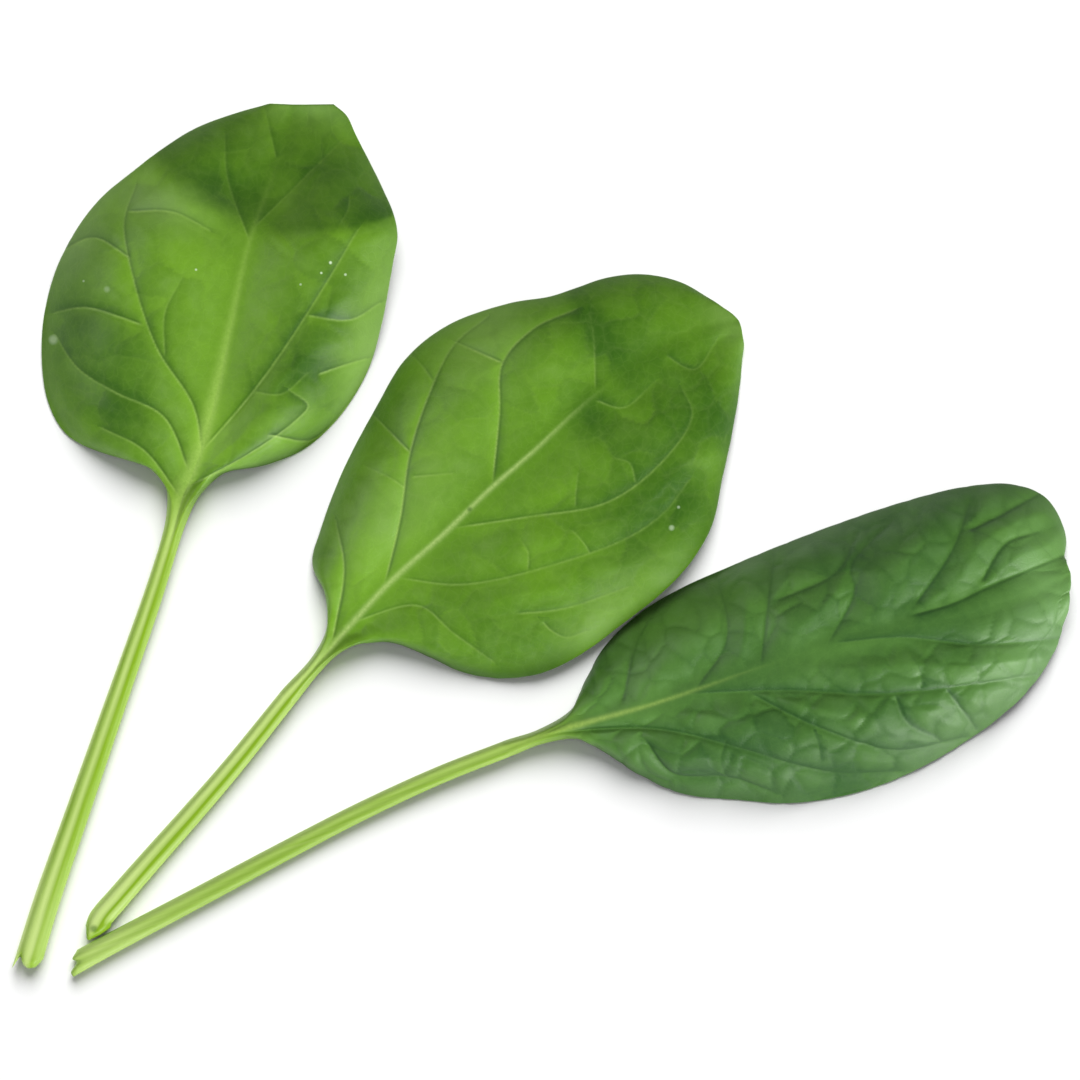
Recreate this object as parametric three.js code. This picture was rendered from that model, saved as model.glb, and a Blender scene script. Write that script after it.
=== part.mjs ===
// Spinach bunch: three picked leaves lying in a loose fan, with their cut stalk ends close together.
// Each leaf grew as one piece, so its stalk, midrib and blade are one closed solid.
// Millimetres, +Z up. The leaves lie on the plane z = 0, and the origin is under the middle of the bunch.

import * as THREE from "three";

// Driving dimensions that the leaves share
const bladeThickness = 0.7;
const stalkFlat = 0.25; // how far the stalk's underside is flattened where it lies
const stalkLift = { from: 0.45, to: 1.15, share: 1.04 }; // where along the stalk it rises to the neck
const ribHalfWidth = 1.7; // half the width of the midrib's ridge under the blade
const ribTaper = 1.6; // how sharply the ridge falls off to its sides
const ribDepth = { neck: 1.5, tip: 0.25, fade: 0.7 }; // below the blade, and how early it fades
const ribCrest = 0.12; // above the blade
const channelDepth = 0.35; // groove along the top of the stalk
const channelWidth = 0.4; // as a share of the stalk's half width
const bladeFormsBy = 8; // half width at which the stalk's section has become the blade's
const restOn = 0.31; // lowest height of the blade's middle surface
const restBlend = 0.3; // how softly a falling margin levels out on the plane
const crestLean = 1.25; // above 1, the crest of each half lies nearer the margin
const ripplePower = 4; // above 1, the waves keep to the margin
const veinValley = 3.2; // width of the dip along a vein
const puffedArea = { begins: 0.03, whole: 0.2, offMidrib: 0.25, rimFrom: 0.8, rimLoss: 0.6 };
const foldReach = 40; // plan width over which a fold changes from its left form to its right
const leafRoughness = 0.45;

// How finely a leaf is divided
const stalkRows = 15;
const stalkColumns = 12;
const bladeRows = 34;
const bladeColumns = 26;
const ribColumns = 4; // columns on each side that follow the midrib
const ribCrowding = 0.6; // keeps those columns apart where the blade is narrow
const rowCrowding = 1.1; // above 1, rows are closer near the neck
const rowBow = 1.12; // above 1, a row bows towards the stalk at the midrib
const marginLeadIn = [0.85, 0.995]; // places along the stalk from which a margin's curve comes
const marginInset = 0.25; // the rolled margin's skin reaches this far past its middle surface
const insetBy = 0.15; // share of the blade's length by which it does
const tipFrom = 0.85; // share of the blade's length past which a row curves round into the tip's outline
const splineSteps = 400;
const veinSteps = 12;

// Each leaf is drawn in its own plan: the stalk's cut end is near [0, 0] and the blade's tip lies along +Y.
// Heights are lists of values at equal steps from the neck, where the blade begins, to the tip.
const leaves = [
  {
    name: "leaf_left",
    color: "#4f8a2c",
    cutEndAt: [-82, -67.8],
    heading: 17, // degrees clockwise from +Y
    stalk: [[0, 0], [0, 10.5], [0.5, 24], [1.3, 44.5], [2, 62], [2.1, 70]],
    stalkWidth: { cut: 4.4, neck: 2.9 },
    cutEdge: [-1.4, 0.7, -0.2, -0.6, -0.5, 0, 1.4], // how far the cut end is drawn in, from left to right
    midrib: [
      [2.2, 78], [2.7, 88.5], [2.4, 96.5], [1.5, 108], [0.6, 119.5], [0.8, 130], [0.9, 138], [0.6, 144],
    ],
    leftMargin: [
      [0.1, 75.5], [-1.6, 80], [-5.5, 82.4], [-12, 81.8], [-18.8, 82.6], [-23.6, 87], [-27.4, 96.2],
      [-28.5, 104.5], [-27.7, 112], [-25, 120], [-20.6, 126.6], [-17.4, 131], [-13.6, 135.6], [-8.9, 139.4],
      [-3.6, 142.8],
    ],
    rightMargin: [
      [3.7, 75], [4.4, 79.5], [7, 84.3], [14, 88], [18.6, 91.9], [22.4, 98.5], [24.5, 106.5], [24.5, 114.5],
      [23.4, 124.5], [22.9, 128.6], [21.4, 131.6], [17.5, 136.2], [11.6, 142.4], [9.3, 144.9], [6.8, 146],
    ],
    height: [2.4, 3.8, 5.8, 7.8, 9.4, 9.6, 9.2],
    crest: { left: [0, 1.2, 2.2, 2.6, 2.2, 1, 0], right: [0, 1.5, 2.6, 3, 2.4, 1, 0] },
    fall: { left: [0.5, 3.6, 6.4, 7.6, 6, 3, 1], right: [0.5, 4, 7, 7.6, 6, 3, 1] },
    marginRoll: 4.2,
    ripple: { waves: 5, size: 0.35, shift: { left: 1.6, right: 2 } },
    fold: {
      from: 122.5, bend: 0.02,
      slope: { left: 0.38, right: 0.5 },
      softness: { left: 2.4, right: 0.6 },
    },
    pillow: 0.55,
    swells: [
      { at: [-5, 128], size: [9, 4], rise: -1.1 },
      { at: [16, 134], size: [6, 5], rise: -0.8 },
    ],
    veins: [
      [[3, 86], [-0.5, 93], [-8.5, 100], [-15, 109], [-19.5, 118], [-19.5, 124]],
      [[2, 82.5], [-4.5, 90], [-13, 91.5], [-20, 93.5], [-25, 97.5]],
      [[1.5, 78.5], [-6, 84], [-13.5, 85.5]],
      [[-11.5, 103], [-21.5, 103], [-26, 101]],
      [[-16.5, 112.5], [-23.5, 114], [-28, 110.5]],
      [[-19.5, 119.5], [-12.5, 121.5], [-6, 120.5]],
      [[2.7, 86], [8, 98], [11, 106.5], [14, 117], [16.5, 127.5]],
      [[2.5, 80.5], [10, 88], [15.5, 95], [17, 98.5], [13.5, 100]],
      [[12, 92], [19, 93.5], [24, 103]],
      [[17, 103.5], [23.5, 108.5]],
      [[12.5, 112], [19.5, 113.5], [23, 117.5]],
      [[0.7, 123], [5, 131.5], [9.5, 140.5]],
      [[0.6, 120.5], [-6, 129.5], [-8.5, 136]],
    ],
  },
  {
    name: "leaf_middle",
    color: "#4d8d24",
    cutEndAt: [-71.6, -63],
    heading: 46,
    stalk: [[0.4, 0.2], [-0.8, 2.6], [-1.3, 7], [-2, 15], [-2.7, 24], [-3.6, 34], [-5.5, 49]],
    stalkWidth: { cut: 3.9, neck: 3 },
    cutEdge: [0.9, -1.15, -0.5, 0.5, 1.75],
    midrib: [
      [-6, 56], [-6.9, 65], [-7.4, 74], [-7, 84.5], [-7, 95], [-6.5, 105], [-6.4, 114], [-5.5, 122.5],
      [-2.5, 132], [1.2, 142.5],
    ],
    leftMargin: [
      [-7.6, 56.5], [-9.3, 61], [-13.2, 64.8], [-18.4, 66.5], [-21.4, 71.2], [-25.8, 80.5], [-29.4, 91.5],
      [-31.6, 100], [-30.8, 108.5], [-26.6, 117.8], [-22.7, 123.5], [-20.6, 127.9], [-18.5, 132.3],
      [-14.6, 137.1], [-9.4, 140.4], [-4.4, 141.5],
    ],
    rightMargin: [
      [-4.8, 55.5], [-4.7, 60], [-2.8, 64.6], [0.6, 67.5], [6.2, 69.8], [11.4, 71.7], [16.4, 75.5],
      [20.1, 80.5], [22.3, 87], [23.5, 95.5], [24.3, 104], [23.9, 110.5], [22, 116.9], [18.1, 122.7],
      [13.9, 129], [8.8, 135.8], [5.2, 139.8],
    ],
    height: [2.4, 3.6, 5, 6.2, 7, 6.8, 6],
    crest: { left: [0, 0.8, 1.3, 1.5, 1.3, 0.6, 0], right: [0, 0.8, 1.2, 1.4, 1.2, 0.6, 0] },
    fall: { left: [0.5, 3.2, 4.8, 5.4, 4.6, 3, 1.5], right: [0.5, 3.6, 4.6, 3.2, 3.6, 4.4, 2.5] },
    marginRoll: 5,
    ripple: { waves: 4, size: 0.4, shift: { left: 2.1, right: 4.2 } },
    fold: {
      from: 121, bend: 0.01,
      slope: { left: 0.24, right: 0.24 },
      softness: { left: 3, right: 3 },
    },
    pillow: 0.5,
    swells: [
      { at: [-20, 78], size: [5, 9], rise: 0.5 },
      { at: [14, 112], size: [6, 12], rise: -0.7 },
    ],
    veins: [
      [[-7, 60], [-14, 69.5], [-20.5, 74]],
      [[-7.5, 72], [-13.5, 81.5], [-20, 90], [-24.5, 98.5], [-27.5, 107], [-27, 114]],
      [[-6.9, 95.5], [-14.5, 104.5], [-20, 110.5], [-20.5, 118], [-18, 125]],
      [[-20, 110.5], [-27.5, 107.5]],
      [[-20, 90], [-28, 90]],
      [[-6.5, 118], [-12.5, 123.5], [-16, 126]],
      [[-7, 86], [0.5, 96.5], [7.5, 107], [9, 117], [7, 126.5], [2.5, 128.5]],
      [[-7.3, 74.5], [1, 81.5], [9, 94.5], [14, 106], [15, 113], [14, 119]],
      [[-7, 64.5], [-1.5, 74], [5.5, 75], [13.5, 76.5]],
      [[10, 84], [15, 90.5], [19.5, 100]],
      [[-5.5, 117], [-1.5, 119.5], [-1, 126]],
      [[-3, 130], [2, 132], [1, 138]],
    ],
  },
  {
    name: "leaf_right",
    color: "#3c7a33",
    cutEndAt: [-75.2, -68.2],
    heading: 70,
    stalk: [[0, 0], [-1.1, 7], [-3.4, 23.5], [-5.4, 37.5], [-7.3, 52], [-8.5, 66], [-8.8, 78]],
    stalkWidth: { cut: 3.5, neck: 2.7 },
    cutEdge: [2.2, 0.9, 1.2, -0.3, -0.4],
    midrib: [
      [-8.9, 84.5], [-8.4, 92], [-7.7, 101], [-7.5, 110], [-7.4, 119], [-7, 128], [-6.2, 137], [-4.6, 148],
      [-3.8, 159.5], [-4.4, 171.7],
    ],
    leftMargin: [
      [-10, 83.5], [-11.4, 89.8], [-15.3, 93.8], [-18.8, 97.6], [-22, 104.6], [-23.6, 112.5], [-24.2, 121],
      [-24.6, 131], [-24.7, 141], [-24.4, 151], [-23.4, 160.5], [-21.2, 168], [-17.6, 172.4],
      [-13, 173.6], [-9.6, 173.1], [-7.9, 171.3],
    ],
    rightMargin: [
      [-7.5, 83.5], [-6.2, 88.9], [-3.3, 91.9], [2.6, 96.1], [8, 101.7], [11.7, 109.2], [15.2, 117.2],
      [17.2, 127], [17.3, 136], [16, 145], [13.7, 153.5], [10, 161.2], [6, 166], [2, 168.7],
    ],
    height: [2.4, 5, 7.5, 9, 9.6, 9.4, 8],
    crest: { left: [0, 0.5, 0.9, 1, 1, 0.6, 0], right: [0, 0.6, 1, 1.2, 1.2, 0.7, 0] },
    fall: { left: [0.5, 5.2, 8.4, 8.6, 8.2, 7, 3], right: [0.5, 4.6, 8, 9.6, 9.6, 7.6, 3] },
    marginRoll: 3.4,
    ripple: { waves: 5, size: 0.3, shift: { left: 4.8, right: 6 } },
    fold: {
      from: 158, bend: 0.01,
      slope: { left: 0.3, right: 0.3 },
      softness: { left: 4, right: 4 },
    },
    pillow: 1.1,
    swells: [],
    veins: [
      [[-8.7, 86], [-3.5, 101.5], [4.5, 113.5], [9, 119.5], [13, 126], [16, 135]],
      [[-3.5, 98.5], [4, 101], [7.5, 109], [12.5, 115.5]],
      [[-7.5, 107], [-2.5, 122.5], [3, 136], [6.5, 149], [9, 161]],
      [[-4.5, 116.5], [5, 125.5], [12.5, 135.5], [14.5, 147]],
      [[-7, 132], [-4, 143], [1, 153.5], [5, 167]],
      [[4, 138.5], [9, 139], [13.5, 143]],
      [[6, 146.5], [13.5, 149]],
      [[-7, 145], [-6.5, 152.5], [-7, 158], [-7.5, 171.5]],
      [[-8, 146], [-14.5, 155], [-20, 160]],
      [[-16.5, 158.5], [-17, 164], [-18, 171.5]],
      [[-8, 157.5], [-12.5, 163.5], [-12.5, 169]],
      [[-9, 97], [-18, 103], [-22, 108]],
      [[-7.5, 109], [-13.5, 116.5], [-23, 118.5]],
      [[-7.5, 120], [-16.5, 124.5], [-23, 128]],
      [[-16.5, 125.5], [-17.5, 136.5], [-22, 142]],
      [[-7, 131], [-13.5, 138], [-17.5, 139], [-22, 148]],
    ],
  },
];

const clamp01 = (v) => Math.min(1, Math.max(0, v));
const mix = (a, b, share) => a + (b - a) * share;

function smoothStep(from, to, v) {
  const share = clamp01((v - from) / (to - from));
  return share * share * (3 - 2 * share);
}

// Rises from 0 to a straight slope of 1, with a bend of the given softness
function softRamp(v, softness) {
  return softness * Math.log1p(Math.exp(Math.min(v / softness, 50)));
}

// A list of values at equal steps, read at any share of its length
function profile(values) {
  const curve = new THREE.SplineCurve(values.map((value, i) => new THREE.Vector2(i, value)));
  return (share) => curve.getPoint(clamp01(share)).y;
}

function splineThrough(points) {
  const vectors = points.map(([x, y]) => new THREE.Vector3(x, y, 0));
  return new THREE.CatmullRomCurve3(vectors, false, "centripetal");
}

// A smooth line through plan points, read by its length from the point numbered first to the last point
function planLine(points, first = 0) {
  const curve = splineThrough(points);
  const start = first / (points.length - 1);
  const samples = [];
  const lengths = [0];
  for (let i = 0; i <= splineSteps; i++) {
    samples.push(curve.getPoint(mix(start, 1, i / splineSteps)));
    if (i > 0) lengths.push(lengths[i - 1] + samples[i].distanceTo(samples[i - 1]));
  }
  const length = lengths[splineSteps];
  const at = (share) => {
    const wanted = clamp01(share) * length;
    let i = 1;
    while (i < splineSteps && lengths[i] < wanted) i++;
    const part = (wanted - lengths[i - 1]) / (lengths[i] - lengths[i - 1]);
    return samples[i - 1].clone().lerp(samples[i], part);
  };
  return { at, length };
}

// A point moved by a distance towards another
function drawnIn(point, towards, distance) {
  return point.lerp(towards, distance / point.distanceTo(towards));
}

// Unit vector to the right of a plan line, at a share of its length
function rightOf(line, share) {
  const step = 0.002;
  const along = line.at(share + step).sub(line.at(share - step)).normalize();
  return new THREE.Vector3(along.y, -along.x, 0);
}

function distanceToSegment(x, y, a, b) {
  const dx = b.x - a.x;
  const dy = b.y - a.y;
  const share = clamp01(((x - a.x) * dx + (y - a.y) * dy) / (dx * dx + dy * dy));
  return Math.hypot(x - a.x - dx * share, y - a.y - dy * share);
}

// Where each column of a row lies, from -1 at the left edge through 0 on the midline to 1 at the right edge
function columnShares(row) {
  const half = (row.inBlade ? bladeColumns : stalkColumns) / 2;
  const shares = [];
  for (let k = -half; k <= half; k++) {
    const step = Math.abs(k) / half;
    let share = Math.sin((step * Math.PI) / 2);
    if (row.inBlade) {
      const ribShare = ribHalfWidth / (row.halfWidth + ribCrowding * ribHalfWidth);
      const ribStep = ribColumns / half;
      const inside = ribShare * Math.sin(((step / ribStep) * Math.PI) / 2);
      const outside = mix(ribShare, 1, (step - ribStep) / (1 - ribStep));
      share = step <= ribStep ? inside : outside;
    }
    shares.push(Math.sign(k) * share);
  }
  return shares;
}

// The rows of a leaf, from the cut end to the tip: a point on the midline and one on each edge
function rowsOf(leaf) {
  const stalkLine = planLine(leaf.stalk);
  const neckIndex = leaf.stalk.length - 1;
  const midrib = planLine([...leaf.stalk, ...leaf.midrib], neckIndex);
  const cutEdge = profile(leaf.cutEdge);
  const halfWidthAt = (share) => mix(leaf.stalkWidth.cut, leaf.stalkWidth.neck, share) / 2;

  const edgeOfStalk = (share, side) =>
    stalkLine.at(share).addScaledVector(rightOf(stalkLine, share), side * halfWidthAt(share));

  const marginLine = (margin, side) => {
    const leadIn = marginLeadIn.map((share) => edgeOfStalk(share, side)).map((p) => [p.x, p.y]);
    return planLine([...leadIn, ...margin], 1);
  };
  const leftMargin = marginLine(leaf.leftMargin, -1);
  const rightMargin = marginLine(leaf.rightMargin, 1);

  const rows = [];
  for (let i = 0; i < stalkRows; i++) {
    const share = i / stalkRows;
    const middle = stalkLine.at(share);
    const edges = [-1, 1].map((side) => edgeOfStalk(share, side));
    rows.push({ inBlade: false, share, middle, edges, halfWidth: halfWidthAt(share) });
  }
  for (let i = 0; i <= bladeRows; i++) {
    const share = Math.pow(i / bladeRows, rowCrowding);
    const middle = midrib.at(Math.pow(share, rowBow));
    const inset = marginInset * smoothStep(0, insetBy, share);
    const edges = [leftMargin, rightMargin].map((margin) => drawnIn(margin.at(share), middle, inset));
    const halfWidth = edges[0].distanceTo(edges[1]) / 2;
    const tipCurve = splineThrough([edges[0], middle, edges[1]].map((p) => [p.x, p.y]));
    rows.push({ inBlade: true, share, middle, edges, halfWidth, tipCurve });
  }
  rows[0].cutBack = cutEdge;
  rows[0].along = rightOf(stalkLine, 0).applyAxisAngle(new THREE.Vector3(0, 0, 1), Math.PI / 2);
  return rows;
}

// The tip folds down beyond a bowed crease
function foldDrop(fold, x, y) {
  const across = clamp01(0.5 + x / foldReach);
  const pastFold = y - fold.from - fold.bend * x * x;
  const softness = mix(fold.softness.left, fold.softness.right, across);
  return mix(fold.slope.left, fold.slope.right, across) * softRamp(pastFold, softness);
}

// The blade is puffed up between its veins and held down along them, from -1/2 to 1/2
function puffAt(veins, x, y) {
  let nearest = Infinity;
  for (const vein of veins) {
    for (let i = 1; i < vein.length; i++) {
      nearest = Math.min(nearest, distanceToSegment(x, y, vein[i - 1], vein[i]));
    }
  }
  return 1 / 2 - Math.exp(-Math.pow(nearest / veinValley, 2));
}

// How fully the blade is puffed up: not at the neck or on the midrib, and less at the rim
function puffShare(share, out) {
  const fromNeck = smoothStep(puffedArea.begins, puffedArea.whole, share);
  const fromMidrib = smoothStep(0, puffedArea.offMidrib, out);
  return fromNeck * fromMidrib * (1 - puffedArea.rimLoss * smoothStep(puffedArea.rimFrom, 1, out));
}

// Height of the leaf's middle surface at a point of a row: column is -1 to 1 across, x and y are the plan
function middleHeight(leaf, shape, row, column, x, y) {
  const stalkHeight = mix(leaf.stalkWidth.cut, leaf.stalkWidth.neck, row.inBlade ? 1 : row.share) / 2;
  if (!row.inBlade) {
    const neckLift = stalkLift.share * (leaf.height[0] - (leaf.stalkWidth.neck / 2 - stalkFlat));
    return stalkHeight - stalkFlat + neckLift * smoothStep(stalkLift.from, stalkLift.to, row.share);
  }
  const side = column < 0 ? "left" : "right";
  const out = Math.abs(column);
  const wave = 2 * Math.PI * leaf.ripple.waves * row.share + leaf.ripple.shift[side];
  let z = shape.height(row.share);
  z += shape.crest[side](row.share) * Math.sin(Math.PI * Math.pow(out, crestLean));
  z -= shape.fall[side](row.share) * Math.pow(out, leaf.marginRoll);
  z += leaf.ripple.size * Math.pow(out, ripplePower) * Math.sin(wave);
  z -= foldDrop(leaf.fold, x, y);
  for (const swell of leaf.swells) {
    const u = (x - swell.at[0]) / swell.size[0];
    const v = (y - swell.at[1]) / swell.size[1];
    z += swell.rise * Math.exp(-u * u - v * v);
  }
  z += leaf.pillow * puffAt(shape.veins, x, y) * puffShare(row.share, out);
  return restOn + softRamp(z - restOn, restBlend);
}

// How far the solid reaches above and below its middle surface
function thicknessAt(leaf, row, column) {
  const skin = bladeThickness / 2;
  const radius = mix(leaf.stalkWidth.cut, leaf.stalkWidth.neck, row.inBlade ? 1 : row.share) / 2 - skin;
  const round = Math.sqrt(Math.max(0, 1 - column * column));
  const channel = channelDepth * Math.exp(-Math.pow(column / channelWidth, 2));
  const flattened = row.inBlade ? smoothStep(leaf.stalkWidth.neck / 2, bladeFormsBy, row.halfWidth) : 0;
  const offRib = (column * row.halfWidth) / ribHalfWidth;
  const ribShape = Math.exp(-ribTaper * offRib * offRib);
  const ridge = row.inBlade ? mix(ribDepth.neck, ribDepth.tip, Math.pow(row.share, ribDepth.fade)) : 0;
  const above = mix(radius * round - channel, ribCrest * ribShape, flattened);
  const below = mix(radius * round, ridge * ribShape, flattened);
  return { above: skin + above, below: skin + below, upright: row.inBlade ? 1 - flattened : 1 };
}

// Triangles between two neighbouring rows of points, which may have different numbers of columns
function stitch(near, far, add) {
  let i = 0;
  let j = 0;
  while (i < near.shares.length - 1 || j < far.shares.length - 1) {
    const nextNear = near.shares[i + 1] ?? Infinity;
    const nextFar = far.shares[j + 1] ?? Infinity;
    if (nextNear <= nextFar) {
      add(near.first + i, near.first + i + 1, far.first + j);
      i++;
    } else {
      add(near.first + i, far.first + j + 1, far.first + j);
      j++;
    }
  }
}

function surfaceGeometry(positions, index) {
  const geometry = new THREE.BufferGeometry();
  geometry.setAttribute("position", new THREE.Float32BufferAttribute(positions, 3));
  geometry.setIndex(index);
  geometry.computeVertexNormals();
  return geometry;
}

// The leaf's middle surface, with what its two faces need: rows, points and triangles
function middleSurface(leaf) {
  const shape = {
    height: profile(leaf.height),
    crest: { left: profile(leaf.crest.left), right: profile(leaf.crest.right) },
    fall: { left: profile(leaf.fall.left), right: profile(leaf.fall.right) },
    veins: leaf.veins.map((points) => splineThrough(points).getPoints(veinSteps)),
  };
  const rows = rowsOf(leaf);
  const positions = [];
  for (const row of rows) {
    row.first = positions.length / 3;
    row.shares = columnShares(row);
    for (const column of row.shares) {
      const edge = row.edges[column < 0 ? 0 : 1];
      const point = row.middle.clone().lerp(edge, Math.abs(column));
      const across = (column + 1) / 2;
      if (row.cutBack) point.addScaledVector(row.along, row.cutBack(across));
      if (row.tipCurve) point.lerp(row.tipCurve.getPoint(across), smoothStep(tipFrom, 1, row.share));
      positions.push(point.x, point.y, middleHeight(leaf, shape, row, column, point.x, point.y));
    }
  }
  const index = [];
  for (let i = 1; i < rows.length; i++) stitch(rows[i - 1], rows[i], (...corners) => index.push(...corners));
  return { rows, geometry: surfaceGeometry(positions, index) };
}

// The numbers of the points round the outline of the middle surface, from the cut end and back
function outlineOf(rows) {
  const lastOf = (row) => row.first + row.shares.length - 1;
  const tip = rows[rows.length - 1];
  return [
    ...rows[0].shares.map((_, j) => rows[0].first + j),
    ...rows.slice(1).map(lastOf),
    ...tip.shares.slice(1).map((_, j) => lastOf(tip) - 1 - j),
    ...rows.slice(1, -1).reverse().map((row) => row.first),
  ];
}

// One closed solid: the upper face, the lower face with the same triangles, and the strip round the outline
function leafGeometry(leaf) {
  const { rows, geometry: middle } = middleSurface(leaf);
  const point = new THREE.Vector3();
  const normal = new THREE.Vector3();
  const upper = [];
  const lower = [];
  for (const row of rows) {
    row.shares.forEach((column, j) => {
      point.fromBufferAttribute(middle.attributes.position, row.first + j);
      normal.fromBufferAttribute(middle.attributes.normal, row.first + j);
      const { above, below, upright } = thicknessAt(leaf, row, column);
      normal.lerp(new THREE.Vector3(0, 0, 1), upright).normalize();
      const top = point.clone().addScaledVector(normal, above);
      const bottom = point.clone().addScaledVector(normal, -below);
      upper.push(top.x, top.y, top.z);
      lower.push(bottom.x, bottom.y, Math.max(0, bottom.z));
    });
  }
  const below = upper.length / 3; // added to a point's number to reach the lower face
  const triangles = middle.index.array;
  const index = [...triangles];
  for (let i = 0; i < triangles.length; i += 3) {
    index.push(triangles[i] + below, triangles[i + 2] + below, triangles[i + 1] + below);
  }
  const outline = outlineOf(rows);
  outline.forEach((here, i) => {
    const next = outline[(i + 1) % outline.length];
    index.push(here, here + below, next + below, here, next + below, next);
  });
  return surfaceGeometry([...upper, ...lower], index);
}

function makeLeaf(leaf) {
  const looks = { color: leaf.color, roughness: leafRoughness, metalness: 0 };
  const material = new THREE.MeshStandardMaterial(looks);
  const mesh = new THREE.Mesh(leafGeometry(leaf), material);
  mesh.name = leaf.name;
  mesh.position.set(leaf.cutEndAt[0], leaf.cutEndAt[1], 0);
  mesh.rotation.z = THREE.MathUtils.degToRad(-leaf.heading);
  return mesh;
}

const group = new THREE.Group();
group.name = "spinach_bunch";
leaves.forEach((leaf) => group.add(makeLeaf(leaf)));

export default group;
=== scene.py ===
# Spinach bunch: three picked leaves in a loose fan on a white table, seen from straight above
import math
import bpy
import numpy as np
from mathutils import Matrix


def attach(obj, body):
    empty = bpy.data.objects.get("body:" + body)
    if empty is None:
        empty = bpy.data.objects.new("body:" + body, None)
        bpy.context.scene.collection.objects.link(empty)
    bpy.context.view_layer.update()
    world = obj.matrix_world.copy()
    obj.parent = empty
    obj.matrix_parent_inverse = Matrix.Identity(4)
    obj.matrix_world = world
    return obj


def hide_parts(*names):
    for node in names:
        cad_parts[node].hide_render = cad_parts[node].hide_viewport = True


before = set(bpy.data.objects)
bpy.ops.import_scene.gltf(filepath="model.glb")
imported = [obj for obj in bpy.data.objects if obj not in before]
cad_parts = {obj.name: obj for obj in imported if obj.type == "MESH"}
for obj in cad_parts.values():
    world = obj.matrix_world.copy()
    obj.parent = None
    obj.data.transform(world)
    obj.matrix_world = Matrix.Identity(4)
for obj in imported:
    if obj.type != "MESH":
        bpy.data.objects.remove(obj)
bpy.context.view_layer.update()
mm = 0.001
print("frame loaded:", sorted(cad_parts))

# What all three leaves share, in millimetres
leafBuild = {
    "skin": 0.26,  # half the thickness of the blade
    "stalkFlat": 0.25,  # how far the stalk's underside is flattened where it lies
    "ribHalfWidth": 1.7,
    "ribDepth": (1.5, 0.25),  # how far the midrib stands out beneath, at the neck and at the tip
    "ribAbove": 0.12,
    "rowBow": 1.12,  # above 1, a row bows towards the stalk at the midrib
    "leadIn": (0.85, 0.995),  # shares of the stalk where its edge leads into the blade's margin
    "lift": (0.45, 1.15),  # the stalk rises from the table from the first share of it, and on past its end
    "liftTop": 1.04,
    "crestBow": 1.25,  # above 1, the crest lies nearer the margin than the midrib
    "reliefStarts": (0.03, 0.2),  # shares of the blade between which its finer relief sets in
    "reliefFromRib": 0.25,
    "reliefAtMargin": (0.8, 0.6),  # from this share of the way out, relief loses this share of its depth
    "channelDepth": 0.22,
    "channelWidth": 0.4,  # share of the stalk's half width
    "bladeFormsBy": 8,  # half width at which the stalk's section has become the blade's
    "restOn": 0.31,
    "restBlend": 0.3,
    "valley": 3.2,  # width of the dip along a vein
    "crinkle": 2.8,  # how far apart fine wrinkles lie
    "crinkleWidth": 0.35,
    "netWidth": 0.28,  # of the lines between quilts
    "marginInset": 0.25,  # the rolled margin's skin reaches this far past its middle surface
    "insetBy": 0.15,
    "tipFrom": 0.85,  # past this share of the blade a row curves round into the tip's outline
    "foldReach": 40,  # width over which a fold changes from its left form to its right
    "cutReach": 15,  # the cut end's unevenness is gone after this part of the stalk
    "rim": 0.5,  # how far in from the margin the blade's edge is rounded
    "cutRound": 1.3,  # how far in from the cut end the stalk is rounded
    "cutRows": 8,
    "stalkRows": 84,
    "stalkColumns": 40,
    "bladeRows": 226,
    "rowSpacing": 1.1,  # above 1, rows lie closer near the neck
    "rimRows": 6,
    "ribColumns": 12,  # on each side of the midrib
    "sideColumns": 66,
    "rimColumns": 6,
}

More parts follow.
